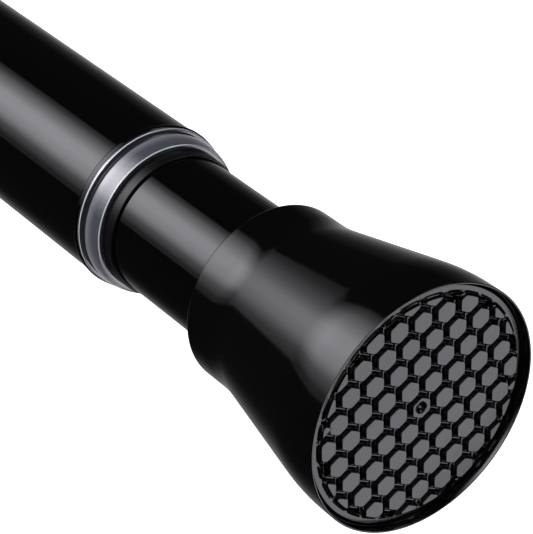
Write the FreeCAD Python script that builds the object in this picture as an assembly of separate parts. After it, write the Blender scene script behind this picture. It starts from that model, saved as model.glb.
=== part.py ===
import FreeCAD, Part
import math
import os

# Spring tension rod: two steel tubes that telescope, with a flared, rubber-faced foot at each end.
# The rod lies along X. The origin is the centre of the foot on the large tube, where it meets the wall.
# Sizes are in millimetres and degrees, and the rod is at its shortest, locked and with the spring out.

Vector = FreeCAD.Vector
along = Vector(1, 0, 0)
axis_point = Vector(0, 0, 0)
full_turn = 360.0

# Whole rod
rod_length = 420.0
mouth_to_neck = 25.5

# Tubes
outer_tube_radius = 11.15
outer_tube_wall = 0.65
tube_gap = 1.0
inner_tube_wall = 0.55
mouth_roll_length = 0.8
mouth_roll_height = 0.2
mouth_edge_height = 0.05

# Clearances
sliding_clearance = 0.05
seat_clearance = 0.02
axial_clearance = 0.1

# Clear collar, from the mouth outwards
collar_sleeve_length = 12.0
collar_bead_length = 0.6
collar_bead_height = 0.05
collar_bead_round = 0.1
collar_groove_length = 0.73
collar_groove_depth = 0.6
collar_nose_length = 2.2
collar_nose_inset = 0.35
collar_nose_drop = 0.45
collar_nose_swell = 0.17
collar_lip_round = 0.35

# Wiper ring in the collar's front
wiper_wall = 0.3
wiper_seat_length = 0.8
wiper_reach = 1.9
wiper_edge_round = 0.1

# Flared foot
foot_length = 29.95
foot_radius = 15.93
inner_neck_wall = 2.52
outer_neck_wall = 1.5
neck_edge_round = 0.4
flare_angle = 11.5
flare_root_round = 18.0
flare_rim_round = 30.0
rim_land = 1.7
rim_edge_round = 0.1
foot_wall = 1.8
socket_depth = 17.0
web_thickness = 2.0
pad_seat_depth = 2.4
rim_lip = 0.21
recess_draft = 0.39
rib_count = 6
rib_thickness = 1.2
boss_bore_radius = 4.6
boss_wall = 1.3

# Honeycomb grip pad
pad_fit = 0.08
pad_base = 1.45
pad_spigot_length = 1.5
pad_border = 1.07
post_pitch = 3.35
post_across_flats = 2.5
post_height = 0.5
post_least_share = 0.49
post_turn = 1.4
gate_radius = 0.6
gate_depth = 0.3
gate_nub_radius = 0.22

# Tube plug and foot screw
plug_length = 12.0
plug_face = 2.5
plug_wall = 1.5
plug_boss_wall = 2.0
plug_rib_count = 4
plug_rib_thickness = 1.2
screw_radius = 1.7
screw_length = 12.0
screw_head_radius = 3.4
screw_head_height = 2.0
screw_head_round = 0.9
recess_width = 0.9
recess_span = 3.6
recess_depth = 1.2

# Twist lock
lock_room = 8.2
ring_length = 12.0
ring_thin_wall = 2.4
ring_slit = 1.5
ring_chamfer = 0.4
journal_offset = 1.5
twist_travel = 60.0
core_flange_length = 3.0
core_flange_gap = 0.9
cam_washer_thickness = 1.2
cam_screw_length = 7.0

# Spring rod, its bush and its stop
rod_radius = 3.0
rod_flat_depth = 0.8
rod_flat_width = 10.0
rod_seat_length = 7.0
rod_shoulder = 0.6
rod_tip = 0.8
spring_travel = 18.0
travel_margin = 1.5
bush_flange_length = 2.0
bush_length = 14.0
rod_washer_thickness = 1.0
rod_washer_gap = 1.3
nut_wall = 1.6
nut_height = 4.0
nut_chamfer = 0.5

# Compression spring and its stop plug
spring_length = 92.0
spring_turns = 12
spring_wire_radius = 0.7
spring_wire_sides = 8
spring_gap = 1.95
stop_length = 10.0
stop_spigot_length = 6.0
stop_spigot_clearance = 0.3

# Sizes that follow from the ones above
outer_bore_radius = outer_tube_radius - outer_tube_wall
inner_tube_radius = outer_bore_radius - tube_gap
inner_bore_radius = inner_tube_radius - inner_tube_wall
recess_mouth_radius = foot_radius - rim_lip
recess_radius = recess_mouth_radius - recess_draft
pad_radius = recess_radius - pad_fit
post_field_radius = pad_radius - pad_border
ring_radius = outer_bore_radius - sliding_clearance
ring_bore_radius = ring_radius - ring_thin_wall - journal_offset
journal_radius = ring_bore_radius - sliding_clearance
thread_radius = rod_radius - rod_shoulder
spring_outer_radius = inner_bore_radius - spring_gap
spring_inner_radius = spring_outer_radius - 2 * spring_wire_radius

# Places along the rod, from the foot on the large tube
web_back = socket_depth - foot_length
web_front = web_back + web_thickness
outer_tube_start = -web_back
mouth = rod_length - foot_length - mouth_to_neck
collar_nose_start = mouth + seat_clearance + collar_bead_length + collar_groove_length
collar_front = collar_nose_start + collar_nose_length + collar_lip_round
inner_tube_end = rod_length + web_back
ring_start = outer_tube_start + plug_length + lock_room
ring_end = ring_start + ring_length
core_face = ring_end + axial_clearance + core_flange_length
bush_start = core_face + spring_travel + travel_margin
inner_tube_start = bush_start + bush_flange_length
bush_end = inner_tube_start + bush_length
rod_washer_start = bush_end + axial_clearance
nut_start = rod_washer_start + rod_washer_thickness
spring_start = nut_start + axial_clearance
stop_start = spring_start + spring_length + axial_clearance


def outline(start, *steps):
    """Closed face in the XZ plane; a step is an (x, radius) point, or an arc's middle and end points."""
    here = Vector(start[0], 0, start[1])
    edges = []
    for step in steps + (start,):
        on_arc = isinstance(step[0], tuple)
        end = step[1] if on_arc else step
        there = Vector(end[0], 0, end[1])
        if on_arc:
            middle = Vector(step[0][0], 0, step[0][1])
            edges.append(Part.Arc(here, middle, there).toShape())
        else:
            edges.append(Part.makeLine(here, there))
        here = there
    return Part.Face(Part.Wire(edges))


def turned(*steps):
    """Solid turned about the rod's axis from an outline."""
    return outline(*steps).revolve(axis_point, along, full_turn)


def cylinder(radius, start, end):
    """Solid round bar on the rod's axis."""
    return Part.makeCylinder(radius, end - start, Vector(start, 0, 0), along)


def bar(start, end, width, low, high):
    """Flat bar along the rod, centred across Y, from one height to another."""
    return Part.makeBox(end - start, width, high - low, Vector(start, -width / 2, low))


def spread(shape, count):
    """Copies of a shape, evenly turned about the rod's axis."""
    copies = []
    for number in range(count):
        copy = shape.copy()
        copy.rotate(axis_point, along, full_turn * number / count)
        copies.append(copy)
    return copies


def hexagon(across_flats, x, y, z, turn):
    """Hexagonal face across the rod, with a flat towards the turn angle from +Y."""
    corner_radius = across_flats / math.sqrt(3)
    corners = []
    for number in range(7):
        angle = math.radians(turn + 30 + 60 * number)
        corners.append(Vector(x, y + corner_radius * math.cos(angle), z + corner_radius * math.sin(angle)))
    return Part.Face(Part.makePolygon(corners))


def wire_section(mean_radius):
    """Many-sided section of the spring's wire, as wide as the round wire, at the coil's start."""
    corners = []
    for number in range(spring_wire_sides + 1):
        angle = 2 * math.pi * number / spring_wire_sides
        across = mean_radius + spring_wire_radius * math.cos(angle)
        corners.append(Vector(across, 0, spring_wire_radius * math.sin(angle)))
    return Part.makePolygon(corners)


def arc_point(centre_x, centre_r, radius, angle):
    """Point of a circle, at an angle from the direction away from the axis."""
    return centre_x + radius * math.sin(angle), centre_r + radius * math.cos(angle)


def at_inner_end(shape):
    """A foot's piece, moved to the end of the small tube."""
    moved = shape.copy()
    moved.translate(Vector(rod_length, 0, 0))
    return moved


def at_outer_end(shape):
    """A foot's piece, turned round to the end of the large tube."""
    turned_round = shape.copy()
    turned_round.rotate(axis_point, Vector(0, 0, 1), 180)
    return turned_round


# Tubes and collar


def outer_tube():
    """Large tube, its mouth rolled outwards into a low bead."""
    roll_start = mouth - mouth_roll_length
    return turned(
        (outer_tube_start, outer_bore_radius),
        (outer_tube_start, outer_tube_radius),
        (roll_start, outer_tube_radius),
        (
            (mouth - mouth_roll_length / 2, outer_tube_radius + mouth_roll_height),
            (mouth, outer_tube_radius + mouth_edge_height),
        ),
        (mouth, outer_bore_radius),
    )


def inner_tube():
    """Small tube, from its guide bush to its foot."""
    tube = cylinder(inner_tube_radius, inner_tube_start, inner_tube_end)
    return tube.cut(cylinder(inner_bore_radius, inner_tube_start, inner_tube_end))


def clear_collar():
    """Clear bush: a sleeve in the large tube, then a bead, a groove and a nose that seats the wiper."""
    bore = inner_tube_radius + sliding_clearance
    seat = bore + wiper_wall + seat_clearance
    sleeve = outer_bore_radius - seat_clearance
    bead = outer_tube_radius + collar_bead_height
    groove = bead - collar_groove_depth
    bead_start = mouth + seat_clearance
    nose_end = collar_front - collar_lip_round
    nose = bead - collar_nose_inset
    tip = nose - collar_nose_drop
    lip_middle = arc_point(nose_end, tip - collar_lip_round, collar_lip_round, math.radians(45))
    return turned(
        (mouth - collar_sleeve_length, bore),
        (mouth - collar_sleeve_length, sleeve),
        (bead_start, sleeve),
        (bead_start, bead - collar_bead_round),
        (
            (bead_start + collar_bead_length / 2, bead),
            (bead_start + collar_bead_length, bead - collar_bead_round),
        ),
        (bead_start + collar_bead_length, groove),
        (collar_nose_start, groove),
        (collar_nose_start, nose),
        (((collar_nose_start + nose_end) / 2, (nose + tip) / 2 + collar_nose_swell), (nose_end, tip)),
        (lip_middle, (collar_front, tip - collar_lip_round)),
        (collar_front, seat),
        (collar_front - wiper_seat_length, seat),
        (collar_front - wiper_seat_length, bore),
    )


def wiper_ring():
    """Thin ring that lies on the small tube, seated in the collar's front and reaching out of it."""
    inside = inner_tube_radius + sliding_clearance
    outside = inside + wiper_wall
    end = collar_front + wiper_reach
    middle = arc_point(end - wiper_edge_round, outside - wiper_edge_round, wiper_edge_round, math.radians(45))
    return turned(
        (collar_front - wiper_seat_length, inside),
        (collar_front - wiper_seat_length, outside),
        (end - wiper_edge_round, outside),
        (middle, (end, outside - wiper_edge_round)),
        (end, inside),
    )


# Flared foot


def flare(neck_radius):
    """Places where the neck ends and where the foot's cone starts and ends, as (x, radius)."""
    angle = math.radians(flare_angle)
    rise = foot_radius - neck_radius
    curved_rise = (flare_root_round + flare_rim_round) * (1 - math.cos(angle))
    cone_length = (rise - curved_rise) / math.tan(angle)
    cone_end = arc_point(-rim_edge_round - rim_land, foot_radius - flare_rim_round, flare_rim_round, -angle)
    cone_start = cone_end[0] - cone_length, cone_end[1] - cone_length * math.tan(angle)
    neck_end = cone_start[0] - flare_root_round * math.sin(angle), neck_radius
    return neck_end, cone_start, cone_end


def foot_surface_radius(x, neck_radius):
    """Outer radius of the foot's cone at a place along it."""
    cone_start, cone_end = flare(neck_radius)[1:]
    share = (x - cone_start[0]) / (cone_end[0] - cone_start[0])
    return cone_start[1] + share * (cone_end[1] - cone_start[1])


def foot_cavity(neck_radius, extra):
    """Hollow between the foot's web and the pad's seat, widened by an extra."""
    back = foot_surface_radius(web_front, neck_radius) - foot_wall + extra
    front = min(foot_surface_radius(-pad_seat_depth, neck_radius), foot_radius) - foot_wall + extra
    return turned((web_front, 0), (web_front, back), (-pad_seat_depth, front), (-pad_seat_depth, 0))


def pad_recess():
    """Space for the pad: straight where its disc sits, then widening to the rim."""
    face = pad_base - pad_seat_depth
    return turned(
        (-pad_seat_depth, 0),
        (-pad_seat_depth, recess_radius),
        (face, recess_radius),
        (0, recess_mouth_radius),
        (0, 0),
    )


def end_cap(tube_radius, neck_wall):
    """Moulded foot, rim at x = 0: neck and socket for the tube, web, ribs and a recess for the pad."""
    socket_radius = tube_radius + seat_clearance
    neck_radius = tube_radius + neck_wall
    neck_end, cone_start, cone_end = flare(neck_radius)
    half_angle = math.radians(flare_angle) / 2
    half_right = math.radians(45)
    root_middle = (
        neck_end[0] + flare_root_round * math.sin(half_angle),
        neck_radius + flare_root_round * (1 - math.cos(half_angle)),
    )
    land_start = -rim_edge_round - rim_land
    rim_middle = arc_point(land_start, foot_radius - flare_rim_round, flare_rim_round, -half_angle)
    neck_edge = neck_edge_round - foot_length
    neck_round = arc_point(neck_edge, neck_radius - neck_edge_round, neck_edge_round, -half_right)
    rim_outside = arc_point(-rim_edge_round, foot_radius - rim_edge_round, rim_edge_round, half_right)
    shell = turned(
        (-foot_length, 0),
        (-foot_length, neck_radius - neck_edge_round),
        (neck_round, (neck_edge, neck_radius)),
        neck_end,
        (root_middle, cone_start),
        cone_end,
        (rim_middle, (land_start, foot_radius)),
        (-rim_edge_round, foot_radius),
        (rim_outside, (0, foot_radius - rim_edge_round)),
        (0, 0),
    )
    shell = shell.cut(cylinder(socket_radius, -foot_length, web_back))
    shell = shell.cut(pad_recess())
    shell = shell.cut(foot_cavity(neck_radius, 0.0))
    boss_radius = boss_bore_radius + boss_wall
    rib = bar(web_front, -pad_seat_depth, rib_thickness, boss_radius - boss_wall / 2, foot_radius)
    ribs = Part.makeCompound(spread(rib, rib_count)).common(foot_cavity(neck_radius, foot_wall / 4))
    shell = shell.fuse([ribs, cylinder(boss_radius, web_front, -pad_seat_depth)])
    shell = shell.cut(cylinder(boss_bore_radius, web_front, -pad_seat_depth))
    return shell.cut(cylinder(screw_radius + sliding_clearance, web_back, web_front)).removeSplitter()


# Honeycomb grip pad


def post_centres():
    """Centres across the pad of every post that is at least partly inside the field."""
    reach = math.ceil(post_field_radius / post_pitch) + 1
    turn = math.radians(post_turn)
    centres = []
    for row in range(-reach, reach + 1):
        for column in range(-reach, reach + 1):
            across = post_pitch * (column + row / 2)
            up = post_pitch * row * math.sqrt(3) / 2
            if math.hypot(across, up) < post_field_radius + post_across_flats * post_least_share:
                y = across * math.cos(turn) - up * math.sin(turn)
                z = across * math.sin(turn) + up * math.cos(turn)
                centres.append((y, z))
    return centres


def grip_pad():
    """Rubber pad: a disc on a spigot, with a honeycomb of posts and a moulding gate in the middle one."""
    floor = pad_base - pad_seat_depth
    top = floor + post_height
    disc = cylinder(pad_radius, -pad_seat_depth, floor)
    spigot = cylinder(boss_bore_radius - pad_fit, -pad_seat_depth - pad_spigot_length, -pad_seat_depth)
    posts = []
    for y, z in post_centres():
        post = hexagon(post_across_flats, floor, y, z, post_turn).extrude(Vector(post_height, 0, 0))
        if math.hypot(y, z) + post_across_flats > post_field_radius:
            post = post.common(cylinder(post_field_radius, floor, top))
        posts.append(post)
    gate = cylinder(gate_radius, top - gate_depth, top).cut(cylinder(gate_nub_radius, top - gate_depth, top))
    return disc.fuse([spigot] + posts).cut(gate).removeSplitter()


# Fixing of a foot


def tube_plug(bore_radius):
    """Moulded plug for a tube's end, its face at x = 0: a rim, a face, ribs and a boss for the screw."""
    radius = bore_radius - seat_clearance
    boss_radius = screw_radius + plug_boss_wall
    plug = cylinder(radius, -plug_length, 0).cut(cylinder(radius - plug_wall, -plug_length, -plug_face))
    rib_end = radius - plug_wall / 2
    rib = bar(-plug_length, -plug_face, plug_rib_thickness, boss_radius - plug_boss_wall / 2, rib_end)
    plug = plug.fuse([cylinder(boss_radius, -plug_length, 0)] + spread(rib, plug_rib_count))
    return plug.cut(cylinder(screw_radius + seat_clearance, -plug_length, 0)).removeSplitter()


def cross_screw(length):
    """Pan head screw with a cross recess, the underside of its head at x = 0."""
    side = screw_head_height - screw_head_round
    dome = arc_point(side, screw_head_radius - screw_head_round, screw_head_round, math.radians(45))
    screw = turned(
        (-length, 0),
        (-length, screw_radius / 2),
        (-length + screw_radius, screw_radius),
        (0, screw_radius),
        (0, screw_head_radius),
        (side, screw_head_radius),
        (dome, (screw_head_height, screw_head_radius - screw_head_round)),
        (screw_head_height, 0),
    )
    half_span = recess_span / 2
    slot = bar(screw_head_height - recess_depth, screw_head_height, recess_width, -half_span, half_span)
    return screw.cut(Part.makeCompound(spread(slot, 4)[:2]))


def foot_screw():
    """The foot's screw, seated on the web."""
    screw = cross_screw(screw_length)
    screw.translate(Vector(web_front, 0, 0))
    return screw


def foot_plug(bore_radius):
    """The tube's plug, its face against the back of the web."""
    plug = tube_plug(bore_radius)
    plug.translate(Vector(web_back, 0, 0))
    return plug


# Twist lock


def journal_space(radius, start, end):
    """Off-centre round bar of the lock's journal, where it rests."""
    return Part.makeCylinder(radius, end - start, Vector(start, 0, journal_offset), along)


def cam_ring():
    """Split ring: a bore that lets the journal swing through the twist, and a slit at its thin side."""
    ring = turned(
        (ring_start, 0),
        (ring_start, ring_radius - ring_chamfer),
        (ring_start + ring_chamfer, ring_radius),
        (ring_end - ring_chamfer, ring_radius),
        (ring_end, ring_radius - ring_chamfer),
        (ring_end, 0),
    )
    released = journal_space(ring_bore_radius, ring_start, ring_end)
    locked = released.copy()
    locked.rotate(axis_point, along, twist_travel)
    reach = ring_bore_radius + journal_offset
    section = outline((ring_start, 0), (ring_start, reach), (ring_end, reach), (ring_end, 0))
    swing = section.revolve(axis_point, along, twist_travel)
    slit = bar(ring_start, ring_end, ring_slit, 0, ring_radius)
    slit.rotate(axis_point, along, twist_travel / 2)
    return ring.cut([released, locked, swing, slit]).removeSplitter()


def rod_section(clearance, start, end):
    """Round bar with two flats, grown by a clearance."""
    half = rod_radius - rod_flat_depth + clearance
    flats = bar(start, end, rod_flat_width, -half, half)
    return cylinder(rod_radius + clearance, start, end).common(flats)


def cam_core():
    """Lock core: off-centre journal, flange, a flatted bore for the rod and a hole for the washer's screw."""
    journal_start = ring_start - axial_clearance
    flange_start = ring_end + axial_clearance
    flange_radius = outer_bore_radius - core_flange_gap
    core = journal_space(journal_radius, journal_start, flange_start)
    core = core.fuse(cylinder(flange_radius, flange_start, core_face))
    core = core.cut(rod_section(seat_clearance, core_face - rod_seat_length, core_face))
    screw_reach = journal_start + cam_screw_length - cam_washer_thickness + seat_clearance
    return core.cut(cylinder(screw_radius + seat_clearance, journal_start, screw_reach))


def cam_washer():
    """Washer that keeps the ring on the journal."""
    end = ring_start - axial_clearance
    start = end - cam_washer_thickness
    washer = cylinder(outer_bore_radius - core_flange_gap, start, end)
    return washer.cut(cylinder(screw_radius + seat_clearance, start, end))


def cam_screw():
    """Screw through the washer into the core, its head towards the foot on the large tube."""
    screw = at_outer_end(cross_screw(cam_screw_length))
    screw.translate(Vector(ring_start - axial_clearance - cam_washer_thickness, 0, 0))
    return screw


# Spring rod and spring


def spring_rod():
    """Rod with two flats, turned down at its end for the washer and nut."""
    shoulder = rod_washer_start
    thread_end = nut_start + nut_height + rod_tip
    rod = rod_section(0.0, core_face - rod_seat_length, shoulder)
    return rod.fuse(cylinder(thread_radius, shoulder, thread_end))


def guide_bush():
    """Bush with a flange against the small tube's end; its flatted bore keeps the rod from turning."""
    body = cylinder(inner_bore_radius - seat_clearance, inner_tube_start, bush_end)
    flange = cylinder(inner_tube_radius, bush_start, inner_tube_start)
    return body.fuse(flange).cut(rod_section(sliding_clearance, bush_start, bush_end))


def rod_washer():
    """Washer between the rod's shoulder and its nut; the spring pushes on its rim."""
    washer = cylinder(inner_bore_radius - rod_washer_gap, rod_washer_start, nut_start)
    return washer.cut(cylinder(thread_radius + seat_clearance, rod_washer_start, nut_start))


def rod_nut():
    """Hexagonal nut with chamfered corners."""
    across_flats = 2 * (thread_radius + nut_wall)
    corner_radius = across_flats / math.sqrt(3)
    nut_end = nut_start + nut_height
    blank = hexagon(across_flats, nut_start, 0, 0, 0).extrude(Vector(nut_height, 0, 0))
    cone = turned(
        (nut_start, 0),
        (nut_start, corner_radius),
        (nut_end - nut_chamfer, corner_radius),
        (nut_end, corner_radius - 2 * nut_chamfer),
        (nut_end, 0),
    )
    return blank.common(cone).cut(cylinder(thread_radius + seat_clearance, nut_start, nut_end))


def compression_spring():
    """Open coil spring in the small tube, wound between the rod's washer and the stop."""
    mean_radius = spring_outer_radius - spring_wire_radius
    rise = spring_length - 2 * spring_wire_radius
    helix = Part.makeHelix(rise / spring_turns, rise, mean_radius)
    coil = Part.Wire(helix).makePipeShell([wire_section(mean_radius)], True, True)
    coil.rotate(axis_point, Vector(0, 1, 0), 90)
    coil.translate(Vector(spring_start + spring_wire_radius, 0, 0))
    return coil


def spring_stop():
    """Plug fixed in the small tube, with a spigot that centres the spring."""
    stop = cylinder(inner_bore_radius - seat_clearance, stop_start, stop_start + stop_length)
    spigot_radius = spring_inner_radius - stop_spigot_clearance
    return stop.fuse(cylinder(spigot_radius, stop_start - stop_spigot_length, stop_start))


pieces = {
    "outer_tube": outer_tube(),
    "clear_collar": clear_collar(),
    "wiper_ring": wiper_ring(),
    "inner_tube": inner_tube(),
    "outer_end_cap": at_outer_end(end_cap(outer_tube_radius, outer_neck_wall)),
    "inner_end_cap": at_inner_end(end_cap(inner_tube_radius, inner_neck_wall)),
    "outer_grip_pad": at_outer_end(grip_pad()),
    "inner_grip_pad": at_inner_end(grip_pad()),
    "outer_tube_plug": at_outer_end(foot_plug(outer_bore_radius)),
    "inner_tube_plug": at_inner_end(foot_plug(inner_bore_radius)),
    "outer_cap_screw": at_outer_end(foot_screw()),
    "inner_cap_screw": at_inner_end(foot_screw()),
    "cam_ring": cam_ring(),
    "cam_core": cam_core(),
    "cam_washer": cam_washer(),
    "cam_screw": cam_screw(),
    "spring_rod": spring_rod(),
    "guide_bush": guide_bush(),
    "rod_washer": rod_washer(),
    "rod_nut": rod_nut(),
    "compression_spring": compression_spring(),
    "spring_stop": spring_stop(),
}

os.makedirs("parts", exist_ok=True)
for name, shape in pieces.items():
    shape.exportStep(os.path.join("parts", name + ".step"))
    print(name, round(shape.Volume, 1), "mm3", len(shape.Solids), "solid", shape.isValid())
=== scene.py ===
import math

import bmesh
import bpy
from bpy.props import FloatProperty, FloatVectorProperty, IntProperty, PointerProperty
from mathutils import Matrix, Vector


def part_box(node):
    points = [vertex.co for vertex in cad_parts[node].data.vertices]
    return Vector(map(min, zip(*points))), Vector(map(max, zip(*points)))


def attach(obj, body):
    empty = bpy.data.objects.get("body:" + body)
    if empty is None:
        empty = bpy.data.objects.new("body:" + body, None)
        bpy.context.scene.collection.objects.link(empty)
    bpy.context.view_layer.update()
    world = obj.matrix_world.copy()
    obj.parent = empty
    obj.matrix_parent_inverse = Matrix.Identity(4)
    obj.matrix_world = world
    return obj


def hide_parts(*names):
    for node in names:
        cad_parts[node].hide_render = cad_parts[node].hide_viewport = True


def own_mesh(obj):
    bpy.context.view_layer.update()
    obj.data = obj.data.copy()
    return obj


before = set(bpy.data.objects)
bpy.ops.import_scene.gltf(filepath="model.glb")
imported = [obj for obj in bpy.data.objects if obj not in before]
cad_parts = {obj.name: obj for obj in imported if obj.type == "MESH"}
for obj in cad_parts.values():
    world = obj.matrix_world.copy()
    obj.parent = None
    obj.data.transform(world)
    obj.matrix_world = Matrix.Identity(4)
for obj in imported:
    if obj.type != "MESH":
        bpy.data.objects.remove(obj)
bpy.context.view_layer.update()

bl_info = {
    "name": "Spring tension rod",
    "version": (1, 0, 0),
    "blender": (4, 5, 0),
    "location": "View3D > Sidebar > Rod",
    "description": "Builds a gloss black spring tension rod with flared, rubber-faced feet",
    "category": "Add Mesh",
}

# The rod lies along X, with the centre of the foot on the large tube at the origin. Lengths are in metres.
MM = 0.001
SHARP_ANGLE = math.radians(32)
SAME_PLACE = 1e-7
ROUND_STEPS = 192
PAD_ROUND_STEPS = 144


def linear(hex_colour):
    """Linear colour of an sRGB hex value."""
    values = [int(hex_colour[place:place + 2], 16) / 255 for place in (1, 3, 5)]
    return tuple(v / 12.92 if v <= 0.04045 else ((v + 0.055) / 1.055) ** 2.4 for v in values)


def opaque(colour):
    """A colour with its alpha, as a shader's socket takes it."""
    return (*colour[:3], 1.0)


def length(name, description, millimetres):
    """A size property, in metres."""
    size = millimetres * MM
    return FloatProperty(name=name, description=description, default=size, unit="LENGTH", precision=5)


def angle(name, description, degrees):
    """An angle property."""
    return FloatProperty(name=name, description=description, default=math.radians(degrees), subtype="ANGLE")


def tint(name, description, hex_colour):
    """A colour property."""
    return FloatVectorProperty(
        name=name, description=description, default=linear(hex_colour), subtype="COLOR", min=0, max=1
    )


class RodSizes(bpy.types.PropertyGroup):
    """Sizes of the rod's visible pieces and of its spring"""

    outer_radius: length("Large tube radius", "Outer radius of the large tube", 11.15)
    outer_wall: length("Large tube wall", "Thickness of the large tube's steel", 0.65)
    inner_wall: length("Small tube wall", "Thickness of the small tube's steel", 0.55)
    roll_length: length("Mouth roll length", "Length of the rolled bead at the large tube's mouth", 0.8)
    roll_height: length("Mouth roll height", "Height of the rolled bead at the large tube's mouth", 0.2)
    bead_length: length("Collar bead", "Length of the clear collar's bead at the mouth", 0.6)
    groove_length: length("Collar groove", "Length of the groove in front of the collar's bead", 0.73)
    groove_depth: length("Collar groove depth", "Depth of the groove below the bead", 0.6)
    nose_swell: length("Collar nose swell", "How far the collar's nose swells between its ends", 0.17)
    flare_root: length("Flare root round", "Radius of the curve between a foot's neck and cone", 18.0)
    flare_rim: length("Flare rim round", "Radius of the curve between a foot's cone and rim", 30.0)
    flare_angle: angle("Flare angle", "Slope of a foot's cone", 11.5)
    rim_land: length("Rim land", "Length of the straight part of a foot's rim", 1.7)
    rim_lip: length("Rim lip", "Width of the foot's rim around the pad", 0.21)
    neck_length: length("Socket depth", "Depth of the tube's socket in a foot", 17.0)
    post_pitch: length("Post pitch", "Distance between neighbouring posts of the pad", 3.35)
    post_width: length("Post width", "Width of a post across its flats", 2.5)
    post_height: length("Post height", "Height of a post above the pad's floor", 0.5)
    post_turn: angle("Post turn", "Turn of the honeycomb in its foot", 1.4)
    pad_border: length("Pad border", "Width of the flat border around the posts", 1.07)
    spring_turns: IntProperty(name="Spring turns", description="Turns of its wire", default=12, min=4, max=40)
    spring_wire: length("Spring wire", "Thickness of the spring's wire", 1.4)


class RodColours(bpy.types.PropertyGroup):
    """Colours of the rod's materials and of the studio"""

    enamel: tint("Enamel", "Baked enamel on the tubes", "#030303")
    moulded: tint("Foot", "Moulded plastic of the feet", "#040404")
    rubber: tint("Rubber", "Rubber of the grip pads", "#070707")
    clear: tint("Clear collar", "Clear plastic of the collar's nose", "#52565E")
    # Painted light on the collar: a painted glow at the back of the nose, painted highlights on the bead and
    # the lip, and painted shade in the groove and on the front face
    painted_glow_clear: tint("Hazy collar", "Clear plastic at the back of the collar's nose", "#8C9097")
    painted_highlight_clear: tint("Collar edges", "Clear plastic where the bead and the lip gather light", "#E4E8EE")
    painted_shade_clear: tint("Collar groove", "Clear plastic in the collar's groove", "#20242A")
    acetal: tint("Wiper ring", "Black acetal of the wiper ring", "#0A0A0B")
    natural_nylon: tint("Natural nylon", "Unpigmented nylon of the plugs and the lock", "#E6DFCB")
    dark_nylon: tint("Dark nylon", "Pigmented nylon of the bush and the stop", "#2A2C30")
    zinc: tint("Zinc", "Bright zinc plate on screws, washers, nut and rod", "#BFC3C8")
    spring: tint("Spring wire", "Drawn, oiled spring steel", "#6F6C69")
    floor: tint("Floor", "Painted studio floor", "#F4F4F4")


# Shapes


def rounded(corners, steps=6):
    """Points of a closed outline from (x, radius, round) corners, each rounded by an arc."""
    points = []
    for number, (x, r, radius) in enumerate(corners):
        here = Vector((x, r))
        if radius == 0:
            points.append(here)
            continue
        before = (Vector(corners[number - 1][:2]) - here).normalized()
        after = (Vector(corners[(number + 1) % len(corners)][:2]) - here).normalized()
        half = before.angle(after) / 2
        centre = here + (before + after).normalized() * radius / math.sin(half)
        first = here + before * radius / math.tan(half) - centre
        last = here + after * radius / math.tan(half) - centre
        turn = math.pi - 2 * half
        for step in range(steps + 1):
            share = step / steps
            mixed = first * math.sin((1 - share) * turn) + last * math.sin(share * turn)
            points.append(centre + mixed / math.sin(turn))
    return points


def turn_outline(mesh, points, segments=ROUND_STEPS):
    """Turns a closed outline of (x, radius) points about the rod's axis."""
    turns = [2 * math.pi * number / segments for number in range(segments)]
    rings = []
    for x, r in points:
        if r < SAME_PLACE:
            rings.append([mesh.verts.new((x, 0, 0))] * segments)
            continue
        rings.append([mesh.verts.new((x, r * math.cos(turn), r * math.sin(turn))) for turn in turns])
    for here, there in zip(rings, rings[1:] + rings[:1]):
        for number in range(segments):
            after = (number + 1) % segments
            corners = dict.fromkeys((here[number], here[after], there[after], there[number]))
            if len(corners) > 2:
                mesh.faces.new(list(corners))


def ring_strip(mesh, rings):
    """Joins closed rings of as many points each by faces; a last ring of one point closes the strip."""
    made = [[mesh.verts.new(point) for point in ring] for ring in rings]
    for here, there in zip(made, made[1:]):
        for number in range(len(here)):
            after = (number + 1) % len(here)
            if len(there) == 1:
                mesh.faces.new((here[number], here[after], there[0]))
            else:
                mesh.faces.new((here[number], here[after], there[after], there[number]))


def block(mesh, corners):
    """Closed block from its eight corners: four round one end, then four round the other."""
    made = [mesh.verts.new(corner) for corner in corners]
    mesh.faces.new(made[3::-1])
    mesh.faces.new(made[4:])
    for number in range(4):
        after = (number + 1) % 4
        mesh.faces.new((made[number], made[after], made[4 + after], made[4 + number]))


def finish_piece(mesh, name, material, body, replaced, place=Matrix.Identity(4)):
    """Makes a shaded piece from a mesh, in the place of CAD nodes and riding on a body."""
    bmesh.ops.recalc_face_normals(mesh, faces=mesh.faces)
    bmesh.ops.transform(mesh, matrix=place, verts=mesh.verts)
    data = bpy.data.meshes.new(name)
    mesh.to_mesh(data)
    mesh.free()
    data.shade_smooth()
    data.set_sharp_from_angle(angle=SHARP_ANGLE)
    data.materials.append(material)
    piece = bpy.data.objects.new(name, data)
    bpy.context.scene.collection.objects.link(piece)
    shading = piece.modifiers.new("Flat sides stay flat", "WEIGHTED_NORMAL")
    shading.keep_sharp = True
    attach(piece, body)
    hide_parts(*replaced)
    return piece


# Materials


def feed(tree, node, sources):
    """Links what feeds a node to its inputs."""
    for name, source in sources.items():
        tree.links.new(source, node.inputs[name])


def add_node(tree, kind, values=None, links=None, **settings):
    """Adds a shader node: its settings, the values of its inputs and what is linked to them."""
    node = tree.nodes.new("ShaderNode" + kind)
    for name, value in settings.items():
        setattr(node, name, value)
    for name, value in (values or {}).items():
        node.inputs[name].default_value = value
    feed(tree, node, links or {})
    return node


def new_material(name, values):
    """A material, its tree, its shader and the place on the piece, in metres."""
    material = bpy.data.materials.new(name)
    material.use_nodes = True
    tree = material.node_tree
    shader = tree.nodes["Principled BSDF"]
    for socket, value in values.items():
        shader.inputs[socket].default_value = value
    place = add_node(tree, "TexCoord").outputs["Object"]
    return material, tree, shader, place


def per(millimetres):
    """Texture scale that gives features of a size."""
    return 1 / (millimetres * MM)


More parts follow.
